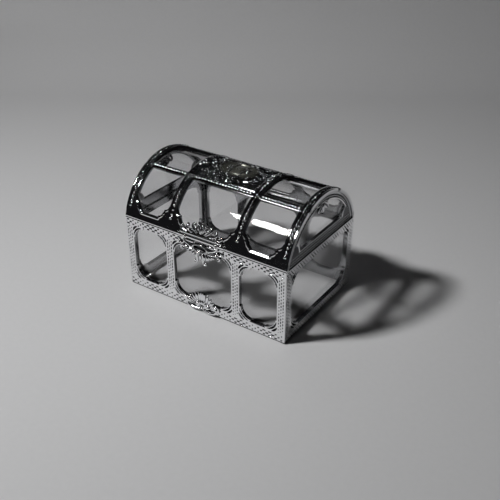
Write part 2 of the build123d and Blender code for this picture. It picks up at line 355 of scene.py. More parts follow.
def openwork_panel(name, facing, half_span, bays, post):
    """One panel of the base, with its windows, the blind holes in its brackets and its cuts."""
    window_low, window_high = bottom_rail, base_height - top_rail
    low, high = (-half_span, 0), (half_span, base_height)
    post_middles = [side * (half_span - post / 2) for side in (-1, 1)]
    if len(bays) > 1:
        post_middles += [-knuckle_x, knuckle_x]

    def from_windows(u, v):
        near = np.full(u.shape, 99.0)
        steps = (0, bracket), (bracket, 0)
        for middle, width in bays:
            corners = (middle - width / 2, window_low), (middle + width / 2, window_high)
            near = np.minimum(near, window_distance(u, v, *corners, steps, window_corner))
        return near

    def edge(u, v):
        return np.minimum(from_windows(u, v), -rectangle_distance(u, v, low, high))

    def relief(u, v):
        nearest = edge(u, v)
        upright = nearest_offset(u, post_middles)
        on_post = (v > window_low) & (v < window_high)
        in_rail = np.where(v > window_high, v - (window_high + base_height) / 2, v - window_low / 2)
        rails = cuts(u, in_rail, *(rail_cuts if len(bays) > 1 else end_rail_cuts))
        posts = cuts(v, upright, *post_cuts) * (np.abs(upright) < post_cut_reach)
        ripple = 0.05 * running_scroll(u, in_rail, 5.2, 1.6, 0.5)
        height = -0.10 * np.clip(1 - nearest / 0.22, 0, 1) ** 2
        height -= foot_recess * np.clip((foot_height - v) / 0.2, 0, 1)
        inside = np.clip((nearest - 0.55) / 0.2, 0, 1)
        height += inside * np.where(on_post, -cut_depth * posts, ripple - cut_depth * rails)
        for middle, width in bays:
            on_sill = (v < window_low + 0.1) & (v > window_low - sill_depth)
            on_sill &= np.abs(u - middle) < width / 2 - bracket + 0.3
            height = np.where(on_sill, sill_height, height)
            for side in (-1, 1):
                for centre_v, turn in ((window_low + bracket, -1), (window_high - bracket, 1)):
                    du = side * (u - middle) - width / 2 + bracket
                    dv = turn * (v - centre_v)
                    out = np.hypot(du, dv) - window_corner
                    angle = np.degrees(np.arctan2(dv, du)) - 45
                    for half_width, half_angle, reach in bracket_holes:
                        hole = half_width * (1 - (angle / half_angle) ** 2) - np.abs(out - reach)
                        height -= (du > 0) * (dv > 0) * hole_depth * np.clip(hole / 0.1, 0, 1)
        return height

    lay = wall_surface(facing, half_span, post)
    panel = plate(name, low, high, edge, relief, lay, panel_thickness, cell, "base", -0.04)
    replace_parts(panel, f"base_{facing}_panel")


knuckle_x = (centre_bay + mid_post) / 2
side_bay_middle = half_length - corner_post - side_bay / 2
long_bays = [(0, centre_bay), (-side_bay_middle, side_bay), (side_bay_middle, side_bay)]
end_bays = [(0, 2 * (half_depth - end_post))]
for facing in ("front", "back"):
    openwork_panel(f"{facing}_panel", facing, half_length, long_bays, corner_post)
for facing in ("left", "right"):
    openwork_panel(f"{facing}_panel", facing, half_depth, end_bays, end_post)

# ---- Lower lock plate and palmette ---------------------------------------------------------------
# Two cast and plated ornaments glued to the front panel: the keeper half of the lock plate, with its oval and
# its hanging scrolls, and a shell of feathers over the bottom rail.


def scroll(start, heading, length, curl_in, curl_out, steps=30):
    """The line of a scroll. It leaves start at a heading in degrees and coils, in turns, at both ends."""
    t = np.linspace(0, 1, steps)
    bend = curl_in * 4 * (1 - t) ** 3 + curl_out * 4 * t**3
    angle = radians(heading) + 2 * pi * np.cumsum(bend) / steps
    moves = np.stack([np.cos(angle), np.sin(angle)], 1) * length / steps
    return np.array(start) + np.cumsum(moves, 0)


def bar(start, end, steps=6):
    """A straight line between two points."""
    t = np.linspace(0, 1, steps)[:, None]
    return np.array(start) * (1 - t) + np.array(end) * t


def oval(centre, half_u, half_v, steps=40):
    """A closed oval line."""
    t = np.linspace(0, 2 * pi, steps + 1)
    return np.stack([centre[0] + half_u * np.cos(t), centre[1] + half_v * np.sin(t)], 1)


def stroke(line, widths, rise, base, squareness=1, sides=12):
    """A rod along a line on a surface: its points (u, v, height) and faces.

    Its half widths are spread along the line, its middle is at the height base, and it is rise times as high
    as wide.
    """
    line = np.asarray(line)
    widths = np.interp(np.linspace(0, 1, len(line)), np.linspace(0, 1, len(widths)), widths)
    along = np.gradient(line, axis=0)
    along /= np.maximum(np.linalg.norm(along, axis=1, keepdims=True), 1e-9)
    across = np.stack([-along[:, 1], along[:, 0]], 1)
    turn = np.linspace(0, 2 * pi, sides, endpoint=False)
    round_u = np.sign(np.cos(turn)) * np.abs(np.cos(turn)) ** squareness
    round_h = np.sign(np.sin(turn)) * np.abs(np.sin(turn)) ** squareness
    uv = line[:, None, :] + across[:, None, :] * (widths[:, None] * round_u)[..., None]
    height = base + rise * widths[:, None] * round_h
    rings = np.concatenate([uv, height[..., None]], 2).reshape(-1, 3)
    first = np.array([*(line[0] - along[0] * widths[0]), base])
    last = np.array([*(line[-1] + along[-1] * widths[-1]), base])
    points = np.concatenate([rings, [first, last]])
    count = len(line)
    faces = []
    for n in range(count - 1):
        for k in range(sides):
            a, b = n * sides + k, n * sides + (k + 1) % sides
            faces.append([a, a + sides, b + sides, b])
    for k in range(sides):
        faces.append([k, (k + 1) % sides, count * sides])
        faces.append([(count - 1) * sides + (k + 1) % sides, (count - 1) * sides + k, count * sides + 1])
    return points, faces


def leaf_widths(width):
    """The half widths of a leaf or feather: narrow at its root, widest past the middle, round at its tip."""
    return [0.35 * width, 0.7 * width, 0.95 * width, width, 0.8 * width, 0.3 * width]


def ornament(name, strokes, lay, body, node=None, mirrored=True, seat=0):
    """Joins strokes and their mirror images into one cast ornament laid on a surface.

    Each stroke is its line, half widths, rise and base. Shade is painted on the plating, darker towards the
    height seat.
    """
    points, faces = [], []
    for line, *shape in strokes:
        middle_only = np.abs(np.asarray(line)[:, 0]).max() < 1e-6
        for side in (1, -1) if mirrored and not middle_only else (1,):
            new_points, new_faces = stroke(np.asarray(line) * (side, 1), *shape)
            start = sum(len(p) for p in points)
            faces += [[start + k for k in face] for face in new_faces]
            points.append(new_points)
    points = np.concatenate(points)
    piece = new_piece(name, lay(*points.T), faces, plating, body, 60)
    # Painted shade: the plating is painted darker the lower a point lies, down towards the seat.
    paint_shade(piece, (0.78 + seat - points[:, 2]) / 0.35)
    if node:
        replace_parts(piece, node)
    return piece


def on_front(u, v, height):
    return np.stack([u, -half_depth - height, v], 1)


crest_top = base_height
lock_plate = [
    (oval((0, crest_top - 2.7), 3.9, 1.75), [0.48], 1.1, 0.75),
    (bar((-3.6, crest_top - 2.7), (3.6, crest_top - 2.7)), [1.2, 1.5, 1.5, 1.2], 0.1, -0.05),
    (bar((4.0, crest_top - 0.7), (9.8, crest_top - 0.7)), [0.5, 0.4], 0.9, 0.45, 0.4),
    (scroll((4.4, crest_top - 3.0), 20, 9.0, 0.0, 0.75), [0.75, 0.7, 0.55, 0.5], 1.1, 0.6),
    (scroll((4.0, crest_top - 4.2), -15, 9.5, 0.1, -0.7), [0.6, 0.7, 0.55, 0.4], 1.1, 0.55),
    (scroll((9.2, crest_top - 2.2), -50, 4.4, 0.1, 0.6), [0.6, 0.5, 0.35], 1.0, 0.5),
    (scroll((0.8, crest_top - 5.1), -8, 8.0, -0.3, 0.75), [0.5, 0.65, 0.6, 0.45], 1.1, 0.65),
    (bar((0, crest_top - 5.2), (0, crest_top - 8.8)), leaf_widths(0.8), 1.0, 0.6),
]
for lean, root, reach in ((-74, 1.7, 3.4), (-62, 3.2, 3.2), (-50, 4.6, 2.8), (-38, 6.0, 2.2)):
    start = (root, crest_top - 5.3 + 0.12 * root)
    tip = (root + reach * cos(radians(lean)), start[1] + reach * sin(radians(lean)))
    lock_plate.append((bar(start, tip, 8), leaf_widths(0.85), 1.0, 0.55))
ornament("lower_lock_plate", lock_plate, on_front, "base", "base_crest")

fan_foot = 2.6
palmette = []
for n in range(7):
    lean = radians(90 - 13.2 * n)
    root = (4.9 * cos(lean), fan_foot + 3.6 * sin(lean))
    tip = (9.3 * cos(lean + 0.06), fan_foot + 8.6 * sin(lean + 0.06) * (1 - 0.02 * n))
    palmette.append((bar(root, tip, 9), leaf_widths(0.8), 0.9, 0.5))
for n in range(5):
    lean = radians(90 - 18.5 * n)
    tip = (4.9 * cos(lean), fan_foot + 3.9 * sin(lean))
    palmette.append((bar((0.4 * cos(lean), fan_foot + 0.4), tip, 9), leaf_widths(0.82), 0.8, 0.6))
palmette += [
    (oval((0, fan_foot + 0.6), 1.2, 0.9, 24), [0.5], 1.0, 1.0),
    (scroll((0.6, fan_foot - 0.8), -4, 12.0, 0.0, 0.8), [0.5, 0.75, 0.8, 0.6, 0.45], 1.1, 0.75),
    (scroll((9.4, fan_foot + 0.4), 95, 4.8, 0.0, 0.7), [0.55, 0.5, 0.4], 1.0, 0.6),
    (scroll((2.0, fan_foot - 1.7), 0, 6.5, 0.0, 0.45), leaf_widths(0.55), 1.0, 0.4),
]
ornament("shell_palmette", palmette, on_front, "base", "base_palmette")

# ---- Hinge knuckles and pins ---------------------------------------------------------------------
# Two knuckles moulded with the back panel sit between pairs of lugs on the lid's cage. A headed steel pin is
# pressed through each knuckle and turns in the lugs.
pin_radius, pin_clearance = 0.8, 0.03
knuckle_root, knuckle_fall = 1.4, 2.6


def hinge_profile(name, spans, outline, bore_radius, body):
    """Hinge leaves of one outline in the YZ plane, bored for the pin and placed along X, with soft edges."""
    shape = bpy.data.curves.new(name, "CURVE")
    shape.dimensions = "2D"
    shape.fill_mode = "BOTH"
    bore = oval((hinge_y, hinge_z), bore_radius, bore_radius, 28)[:-1]
    for ring in (outline, bore):
        spline = shape.splines.new("POLY")
        spline.points.add(len(ring) - 1)
        for point, (y, z) in zip(spline.points, ring):
            point.co = (y * mm, z * mm, 0, 1)
        spline.use_cyclic_u = True
    soft = 0.12
    shape.bevel_depth = soft * mm
    shape.bevel_resolution = 2
    shape.offset = -soft * mm
    leaf = bpy.data.objects.new(name + "_leaf", shape)
    bpy.context.scene.collection.objects.link(leaf)
    points, faces = [], []
    for start, end in spans:
        shape.extrude = ((end - start) / 2 - soft) * mm
        bpy.context.view_layer.update()
        mesh = leaf.evaluated_get(bpy.context.evaluated_depsgraph_get()).to_mesh()
        first = len(points)
        points += [((start + end) / 2 + v.co.z / mm, v.co.x / mm, v.co.y / mm) for v in mesh.vertices]
        faces += [[first + k for k in face.vertices] for face in mesh.polygons]
    bpy.data.objects.remove(leaf)
    return new_piece(name, points, faces, plating, body, 35)


pin_low, pin_high = box_mm("hinge_pin_right")
hinge_y, hinge_z = (pin_low[1] + pin_high[1]) / 2, (pin_low[2] + pin_high[2]) / 2
hinge_radius = 2.0
knuckle_half, lug_gap, lug_width = 2.0, 0.3, 2.4


def barrel(first, last, steps=30):
    """Points round the hinge barrel between two angles in degrees."""
    angles = np.radians(np.linspace(first, last, steps))
    return [(hinge_y + hinge_radius * cos(a), hinge_z + hinge_radius * sin(a)) for a in angles]


knuckle = [(half_depth - knuckle_root, hinge_z - knuckle_fall), (half_depth, hinge_z - knuckle_fall)]
knuckle += barrel(-90, 180)
knuckle += [(half_depth, base_height - 0.2), (half_depth - knuckle_root, base_height - 0.8)]
knuckle_spans = [(side * knuckle_x - knuckle_half, side * knuckle_x + knuckle_half) for side in (-1, 1)]
knuckles = hinge_profile("back_knuckles", knuckle_spans, knuckle, pin_radius + pin_clearance, "base")
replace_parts(knuckles, "base_back_panel")


def pin_steel():
    """Drawn steel wire, with fine lines along the pin."""
    material, add, link = shader_material("pin_steel")
    steel = add("BsdfPrincipled", Metallic=1.0, Anisotropic=0.4)
    place = add("TexCoord")
    stretch = add("Mapping", Scale=(60.0, 4000.0, 4000.0))
    lines = add("TexNoise", Scale=1.0, Detail=3.0)
    shade = add("MapRange", To_Min=0.18, To_Max=0.34)
    tone = add("Mix")
    tone.data_type = "RGBA"
    tone.inputs["A"].default_value = (0.62, 0.63, 0.65, 1)
    tone.inputs["B"].default_value = (0.48, 0.49, 0.50, 1)
    link(place.outputs["Object"], stretch.inputs["Vector"])
    link(stretch.outputs["Vector"], lines.inputs["Vector"])
    link(lines.outputs["Fac"], shade.inputs["Value"])
    link(lines.outputs["Fac"], tone.inputs["Factor"])
    link(shade.outputs["Result"], steel.inputs["Roughness"])
    link(tone.outputs["Result"], steel.inputs["Base Color"])
    link(steel.outputs["BSDF"], add("OutputMaterial").inputs["Surface"])
    return material


def wear(node, material):
    """Gives a CAD node that keeps its own shape a new material."""
    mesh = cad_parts[node].data
    mesh.materials.clear()
    mesh.materials.append(material)


steel = pin_steel()
for side in ("left", "right"):
    wear(f"hinge_pin_{side}", steel)

# ---- Clear vault ---------------------------------------------------------------------------------
# The lid's shell is one clear moulding: a barrel vault with flat end walls, open below. The friction tongue
# on its front wall drops inside the tray and holds the lid shut.
cage_thickness, vault_gap = 1.8, 0.04
shell_wall = 1.2
plaque_recess = 0.5
lid_floor = box_mm("lid_shell")[0][2]
vault_top = box_mm("lid_plaque")[1][2] + plaque_recess
lid_rise = vault_top - base_height
vault_radius = (half_depth**2 + lid_rise**2) / (2 * lid_rise)
vault_axis = vault_top - vault_radius
vault_half_angle = asin(half_depth / vault_radius)


def vault_section(radius, x, steps=72):
    """Points over the vault's section at x, from its front edge to its back edge."""
    half = acos((lid_floor - vault_axis) / radius)
    angles = np.linspace(-half, half, steps + 1)
    return [(x, radius * sin(a), vault_axis + radius * cos(a)) for a in angles]


shell_half = box_mm("lid_shell")[1][0]
outer_radius = vault_radius - cage_thickness - vault_gap
inner_radius = outer_radius - shell_wall
sections = [
    vault_section(outer_radius, -shell_half),
    vault_section(outer_radius, shell_half),
    vault_section(inner_radius, -shell_half + shell_wall),
    vault_section(inner_radius, shell_half - shell_wall),
]
n = len(sections[0])
faces = [list(range(n)), list(reversed(range(n, 2 * n)))]
faces += [list(reversed(range(2 * n, 3 * n))), list(range(3 * n, 4 * n))]
for k in range(n - 1):
    faces.append([k, n + k, n + k + 1, k + 1])
    faces.append([2 * n + k + 1, 3 * n + k + 1, 3 * n + k, 2 * n + k])
faces.append([0, 2 * n, 3 * n, n])
faces.append([n - 1, 2 * n - 1, 4 * n - 1, 3 * n - 1])
faces.append([0, n - 1, 3 * n - 1, 2 * n])
faces.append([n, 3 * n, 4 * n - 1, 2 * n - 1])
shell = new_piece("clear_vault", sum(sections, []), faces, clear, "lid")
round_edges(shell, 0.3)
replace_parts(shell, "lid_shell")
wear("catch_tongue", clear)

# ---- Lid cage ------------------------------------------------------------------------------------
# One plated moulding wraps the vault: four pearled ribs with stepped feet, a band along the front and back,
# and a toothed rail on either side of the crown. The hinge lugs hang from its back band.
plated_gap = 0.02
lid_band = 4.6
tooth_rail_start, tooth_rail = 27.4, 2.7
tooth_pitch, tooth_ledge, tooth_length = 1.65, 0.95, 1.45
flute_pitch = 1.25
rib_middle = half_length - corner_post / 2
foot_steps = ((0, 6.6), (2.5, 3.1), (5.2, 0))
foot_arc = 2.2
cage_cell = 0.25
vault_arc = 2 * vault_half_angle * vault_radius


def on_vault(u, v, height):
    """Lays x and the distance round the vault from its lower front edge on the outside of the vault."""
    angle = v / vault_radius - vault_half_angle
    reach = vault_radius + height
    return np.stack([u, reach * np.sin(angle), vault_axis + reach * np.cos(angle)], 1)


crown_start = tooth_rail_start + tooth_rail
edge_start = (lid_floor - base_height) / sin(vault_half_angle)


def mirror_arc(v):
    """The distance from the nearer lower edge of the vault, so that the back repeats the front."""
    return np.minimum(v, vault_arc - v)


def from_cage_windows(u, v):
    near = np.full(u.shape, 99.0)
    from_edge = mirror_arc(v)
    for middle, width in long_bays:
        lower = (middle - width / 2, lid_band), (middle + width / 2, tooth_rail_start)
        near = np.minimum(near, window_distance(u, from_edge, *lower, foot_steps, foot_arc, (-1,)))
        upper = (middle - width / 2, crown_start), (middle + width / 2, vault_arc - crown_start)
        near = np.minimum(near, rectangle_distance(u, v, *upper))
    return near


def cage_edge(u, v):
    border = rectangle_distance(u, v, (-half_length, edge_start), (half_length, vault_arc - edge_start))
    return np.minimum(from_cage_windows(u, v), -border)


def cage_relief(u, v):
    from_edge = mirror_arc(v)
    to_window = from_cage_windows(u, v)
    beside = nearest_offset(u, [-rib_middle, rib_middle, -knuckle_x, knuckle_x])
    height = -0.12 * np.clip(1 - cage_edge(u, v) / 0.3, 0, 1) ** 2
    height -= 0.22 * np.clip(1 - to_window / 0.45, 0, 1) ** 2
    height += 0.22 * ridge(to_window - 0.85, 0.32) - 0.12 * ridge(to_window - 1.35, 0.25)
    up_rib = from_edge - lid_band - 1.2
    channel = np.clip((1.15 - np.abs(beside)) / 0.2, 0, 1) * np.clip(up_rib / 2.5, 0, 1)
    rib_pearls = pearls(v, beside, 2.1, 0.75, 0.6)
    height += (up_rib > 0) * (np.abs(beside) < 1.3) * (0.65 * rib_pearls - 0.3 * channel)
    on_band = (from_edge < lid_band - 1.0) & (from_edge > 1.0)
    height -= 0.10 * on_band * ridge(u - flute_pitch * np.round(u / flute_pitch), 0.3)
    on_rail = (from_edge > tooth_rail_start) & (from_edge < crown_start) & (np.abs(beside) > 1.7)
    ledge = 0.26 * ridge(from_edge - tooth_rail_start - 0.4, 0.34)
    return np.where(on_rail, -0.4 + ledge, height)


low, high = (-half_length, edge_start), (half_length, vault_arc - edge_start)
cage_depth = cage_thickness - plated_gap
shape = (low, high, cage_edge, cage_relief, on_vault, cage_depth, cage_cell)
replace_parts(plate("lid_cage_plated", *shape, "lid", -0.12), "lid_cage")

teeth = []
tooth_widths = [0.15, 0.32, 0.48, 0.55, 0.5]
first_tooth = tooth_rail_start + tooth_ledge
for middle, width in long_bays:
    count = round((width - 0.6) / tooth_pitch)
    for n in range(count):
        x = middle + (n - (count - 1) / 2) * tooth_pitch
        for start, step in ((first_tooth, 1), (vault_arc - first_tooth, -1)):
            line = bar((x, start), (x, start + tooth_length * step), 7)
            teeth.append((line, tooth_widths, 0.9, -0.35, 0.6))
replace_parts(ornament("tooth_rails", teeth, on_vault, "lid", mirrored=False, seat=-0.8), "lid_cage")

lug = [(half_depth - knuckle_root, lid_floor), (half_depth, lid_floor)]
lug += barrel(180, 450) + [(half_depth - knuckle_root, hinge_z + knuckle_fall)]
lug_spans = []
for side in (-1, 1):
    for start in (knuckle_half + lug_gap, -knuckle_half - lug_gap - lug_width):
        lug_spans.append((side * knuckle_x + start, side * knuckle_x + start + lug_width))
lugs = hinge_profile("cage_lugs", lug_spans, lug, pin_radius + 2 * pin_clearance, "lid")
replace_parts(lugs, "lid_cage")

# ---- Lunettes ------------------------------------------------------------------------------------
# A plated half-round plate closes each end of the vault. It has a pearled ring, a pearled rail, brackets in
# its lower corners and a spray of leaves hanging from the top.
lunette_thickness, lunette_recess = 1.55, 0.6
lunette_ring, lunette_corner = 2.9, 5.0
lunette_radius = vault_radius - cage_thickness
opening_radius = lunette_radius - lunette_ring
opening_floor = lid_floor + lid_band
opening_half = sqrt(opening_radius**2 - (opening_floor - vault_axis) ** 2)


def from_opening(u, v):
    away = np.hypot(u, v - vault_axis)
    distance = np.maximum(away - opening_radius, opening_floor - v)
    for side in (-1, 1):
        from_corner = np.hypot(u - side * opening_half, v - opening_floor)
        distance = np.maximum(distance, lunette_corner - from_corner)
    return distance


def lunette_edge(u, v):
    outer = np.minimum(lunette_radius - np.hypot(u, v - vault_axis), v - lid_floor)
    return np.minimum(from_opening(u, v), outer)


def lunette_relief(u, v):
    nearest = lunette_edge(u, v)
    from_ring_middle = np.hypot(u, v - vault_axis) - (opening_radius + lunette_radius) / 2
    from_rail_middle = np.abs(v - (lid_floor + opening_floor) / 2)
    round_ring = np.arctan2(u, v - vault_axis) * lunette_radius
    height = -0.3 * np.clip((nearest - 0.55) / 0.2, 0, 1) - 0.1 * np.clip(1 - nearest / 0.25, 0, 1) ** 2
    ring = pearls(round_ring, from_ring_middle, 1.7, 0.6, 0.5)
    rail = pearls(u, from_rail_middle - 0.8, 1.5, 0.42, 0.42)
    inside = np.clip((nearest - 0.7) / 0.2, 0, 1)
    return height + inside * 0.32 * np.where(v < opening_floor - 0.3, rail, ring)


drop_top = vault_axis + opening_radius
drop = [
    (bar((0, drop_top + 0.4), (0, drop_top - 5.0)), leaf_widths(0.9), 0.8, -0.3),
    (bar((0, drop_top - 5.3), (0, drop_top - 5.4)), [0.5], 0.9, -0.3),
    (scroll((0.5, drop_top - 0.2), -62, 5.0, 0.0, 0.3), leaf_widths(0.75), 0.8, -0.35),
    (scroll((0.9, drop_top + 0.1), -30, 6.4, 0.0, -0.6), [0.5, 0.7, 0.6, 0.4], 0.9, -0.3),
    (scroll((2.6, drop_top - 0.1), -12, 4.6, 0.05, 0.6), [0.5, 0.6, 0.5, 0.35], 0.9, -0.35),
    (scroll((1.6, drop_top - 1.9), -95, 3.4, 0.0, -0.45), [0.35, 0.5, 0.4], 0.9, -0.35),
]
for side, facing in ((-1, "left"), (1, "right")):

    def on_end(u, v, height, side=side):
        return np.stack([side * (half_length - lunette_recess + height), side * u, v], 1)

    name = f"{facing}_lunette"
    low, high = (-lunette_radius, lid_floor), (lunette_radius, vault_axis + lunette_radius)
    shape = (low, high, lunette_edge, lunette_relief, on_end, lunette_thickness, cell)
    lunette = plate(name, *shape, "lid", -0.1)
    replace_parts(lunette, f"lid_{name}")
    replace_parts(ornament(f"{name}_spray", drop, on_end, "lid", seat=-0.6), f"lid_{name}")

# ---- Crown plaque --------------------------------------------------------------------------------
# A plated plaque fills the centre bay of the crown. Leaves and scrolls in high relief surround an oval of
# pearls, and its oval opening holds the medallion.
plaque_clearance = 0.1
plaque_field = -0.9
crown_arc = vault_arc - 2 * crown_start
crown_middle = vault_arc / 2
plaque_half_u = centre_bay / 2 - plaque_clearance
plaque_half_v = crown_arc / 2 - plaque_clearance
medallion_low, medallion_high = box_mm("lid_medallion")
medallion_half_u = (medallion_high[0] - medallion_low[0]) / 2
medallion_half_v = (medallion_high[1] - medallion_low[1]) / 2


def oval_distance(u, v, half_u, half_v):
    """About how far each point is outside an oval."""
    k = np.maximum(np.hypot(u / half_u, v / half_v), 1e-6)
    slope = np.maximum(np.hypot(u / half_u**2, v / half_v**2), 1e-6)
    return k * (k - 1) / slope


def on_crown(u, v, height):
    return on_vault(u, crown_middle + v, height)


low, high = (-plaque_half_u, -plaque_half_v), (plaque_half_u, plaque_half_v)


def plaque_edge(u, v):
    outer = -rectangle_distance(u, v, low, high)
    return np.minimum(outer, oval_distance(u, v, medallion_half_u, medallion_half_v))


def plaque_relief(u, v):
    outer = -rectangle_distance(u, v, low, high)
    ring = oval_distance(u, v, medallion_half_u, medallion_half_v)
    frame_line = 0.35 * ridge(outer - 0.5, 0.5)
    hammered = 0.12 * np.sin(2.1 * u + 0.9 * np.sin(1.7 * v)) * np.sin(2.3 * v + 0.8 * np.sin(1.9 * u))
    return plaque_field + frame_line + hammered * np.clip(outer - 1, 0, 1) + 0.3 * ridge(ring - 0.2, 0.3)


shape = (low, high, plaque_edge, plaque_relief, on_crown, cage_depth, cell)
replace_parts(plate("crown_plaque", *shape, "lid", -0.8), "lid_plaque")

plaque_work = []
pearl_radius, pearl_count, pearl_ring = 0.42, 46, 0.75
for n in range(pearl_count):
    t = 2 * pi * n / pearl_count
    centre = np.array([(medallion_half_u + pearl_ring) * cos(t), (medallion_half_v + pearl_ring) * sin(t)])
    plaque_work.append((centre + [[0, -0.01], [0, 0.01]], [pearl_radius], 1.0, -0.35))
corner_work = [
    (scroll((1.0, 7.6), 15, 12.0, -0.35, 0.8), [0.4, 0.55, 0.6, 0.5, 0.4], 1.1, -0.35),
    (scroll((7.5, 8.4), -10, 8.5, 0.0, -0.85), [0.5, 0.6, 0.5, 0.4], 1.1, -0.3),
    (scroll((14.6, 10.2), 200, 6.5, 0.1, 0.6), [0.55, 0.55, 0.45, 0.35], 1.1, -0.4),
    (scroll((14.7, 1.2), 95, 8.0, -0.3, 0.75), [0.45, 0.6, 0.55, 0.4], 1.1, -0.35),
    (scroll((12.8, 6.8), 60, 3.6, 0.0, 0.25), leaf_widths(0.6), 0.9, -0.4),
    (scroll((11.2, 7.4), 95, 3.6, 0.0, 0.2), leaf_widths(0.6), 0.9, -0.4),
    (scroll((9.0, 7.8), 120, 3.2, 0.0, -0.2), leaf_widths(0.55), 0.9, -0.4),
    (scroll((5.4, 7.9), 75, 3.6, 0.0, -0.25), leaf_widths(0.6), 0.9, -0.4),
    (scroll((3.2, 7.6), 100, 3.6, 0.0, 0.25), leaf_widths(0.6), 0.9, -0.4),
    (scroll((13.4, 3.6), 30, 2.6, 0.0, 0.3), leaf_widths(0.5), 0.9, -0.4),
    (scroll((12.9, 1.2), -10, 2.6, 0.0, 0.2), leaf_widths(0.5), 0.9, -0.4),
    (scroll((0.1, 7.6), 90, 3.4, 0.0, 0.0), leaf_widths(0.7), 1.0, -0.35),
]
for line, widths, rise, base in corner_work:
    for corner in ((1, 1), (1, -1), (-1, 1), (-1, -1)):
        plaque_work.append((line * corner, widths, rise, base))
scrollwork = ornament("plaque_scrollwork", plaque_work, on_crown, "lid", mirrored=False, seat=plaque_field)
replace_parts(scrollwork, "lid_plaque")

# ---- Medallion -----------------------------------------------------------------------------------
# An oval cabochon of smoke-tinted mirror foil, with a turned rim and a small flower of its own moulding.


def tinted_mirror():
    """Cloudy smoke-olive mirror foil under a clear skin."""
    material, add, link = shader_material("tinted_mirror")
    foil = add("BsdfPrincipled", Metallic=0.75, Coat_Weight=0.6, Coat_Roughness=0.06)
    place = add("TexCoord")
    cloud = add("TexNoise", Scale=240.0, Detail=5.0, Roughness=0.65)
    tone = add("Mix")
    tone.data_type = "RGBA"
    tone.inputs["A"].default_value = (0.09, 0.093, 0.078, 1)
    tone.inputs["B"].default_value = (0.24, 0.245, 0.21, 1)
    dull = add("MapRange", To_Min=0.10, To_Max=0.34)
    link(place.outputs["Object"], cloud.inputs["Vector"])
    link(cloud.outputs["Fac"], tone.inputs["Factor"])
    link(cloud.outputs["Fac"], dull.inputs["Value"])
    link(tone.outputs["Result"], foil.inputs["Base Color"])
    link(dull.outputs["Result"], foil.inputs["Roughness"])
    link(foil.outputs["BSDF"], add("OutputMaterial").inputs["Surface"])
    return material


medallion_depth, medallion_gap = 1.75, 0.05
dome_foot, dome_rise = -0.30, 0.35
petal_rise, heart_rise, lip_rise = 0.20, 0.30, 0.65
spokes = 120
rings = np.concatenate([np.linspace(0, 0.86, 26), np.linspace(0.875, 1.0, 10)])[1:]
share, angle = np.meshgrid(rings, np.linspace(0, 2 * pi, spokes, endpoint=False), indexing="ij")
u = share * (medallion_half_u - medallion_gap) * np.cos(angle)
v = share * (medallion_half_v - medallion_gap) * np.sin(angle)
dome = dome_foot + dome_rise * (1 - np.clip(share / 0.84, 0, 1) ** 2)
lip = lip_rise * ridge(share - 0.93, 0.075)
reach = np.hypot(u, v)
petals = petal_rise * ridge(reach - 1.15, 1.1) * (0.55 + 0.45 * np.cos(6 * np.arctan2(v, u)))
top = dome + lip + np.maximum(petals, heart_rise * ridge(reach, 0.5))
u, v = u.ravel(), v.ravel()
middle = dome_foot + dome_rise + heart_rise
centres = on_crown(np.zeros(2), np.zeros(2), np.array([middle, -medallion_depth]))
points = [on_crown(u, v, top.ravel()), on_crown(u, v, np.full(u.size, -medallion_depth)), centres]
under = u.size
faces = []
for k in range(spokes):
    after = (k + 1) % spokes
    faces.append([k, after, 2 * under])
    faces.append([2 * under + 1, under + after, under + k])
    for ring in range(0, under - spokes, spokes):
        a, b = ring + k, ring + after
        faces.append([a, a + spokes, b + spokes, b])
        faces.append([under + b, under + b + spokes, under + a + spokes, under + a])
    rim = under - spokes
    faces.append([rim + k, rim + k + under, rim + after + under, rim + after])
points = np.concatenate(points)
medallion = new_piece("oval_medallion", points, faces, tinted_mirror(), "lid", 60)
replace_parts(medallion, "lid_medallion")

# ---- Upper lock plate ----------------------------------------------------------------------------
# The upper half of the lock plate is cast with two stacked mouldings and a pierced spray of scrolls, plated
# and glued round the front of the vault. A thumb under it lifts the lid.
upper_plate = [
    (bar((0, 1.25), (12.8, 1.25), 24), [0.75], 0.9, 0.5, 0.3),
    (bar((0, 2.75), (11.0, 2.75), 24), [0.5], 1.1, 0.8, 0.35),
    (bar((13.2, 1.2), (13.3, 1.2)), [0.8], 1.0, 0.6),
    (bar((11.3, 2.75), (11.4, 2.75)), [0.55], 1.1, 0.7),
    (bar((0, 3.8), (0, 8.4), 12), leaf_widths(0.7), 1.0, 0.75),
    (bar((0, 8.9), (0, 9.0)), [0.45], 1.0, 0.7),
    (scroll((2.0, 3.9), 60, 3.6, 0.0, -0.28), leaf_widths(0.55), 1.0, 0.65),
    (scroll((0.8, 4.2), 78, 4.4, 0.0, -0.3), leaf_widths(0.55), 1.0, 0.65),
    (scroll((2.4, 3.8), 35, 6.6, 0.0, 0.75), [0.45, 0.6, 0.5, 0.4], 1.1, 0.6),
    (scroll((4.6, 3.7), 12, 6.4, 0.0, 0.8), [0.45, 0.6, 0.5, 0.4], 1.1, 0.6),
    (scroll((7.6, 3.6), 0, 5.6, 0.0, 0.7), [0.45, 0.55, 0.45, 0.35], 1.1, 0.6),
    (scroll((3.4, 6.3), 75, 2.6, 0.0, -0.4), leaf_widths(0.42), 0.9, 0.6),
    (scroll((6.9, 5.6), 60, 2.4, 0.0, -0.35), leaf_widths(0.42), 0.9, 0.5),
    (scroll((9.6, 4.6), 40, 2.2, 0.0, -0.35), leaf_widths(0.4), 0.9, 0.5),
    (bar((1.6, 6.6), (1.7, 6.7)), [0.42], 1.1, 0.75),
    (bar((5.0, 5.2), (5.1, 5.2)), [0.42], 1.1, 0.75),
    (bar((3.0, 5.0), (3.1, 5.0)), [0.38], 1.1, 0.75),
]
ornament("upper_lock_plate", upper_plate, on_vault, "lid", "lid_crest")

# ---- Stage ---------------------------------------------------------------------------------------
# A sheet of pale card on a table in a dark room, with another bent up far behind it. A softbox stands high
# on the left and a weak lamp behind.


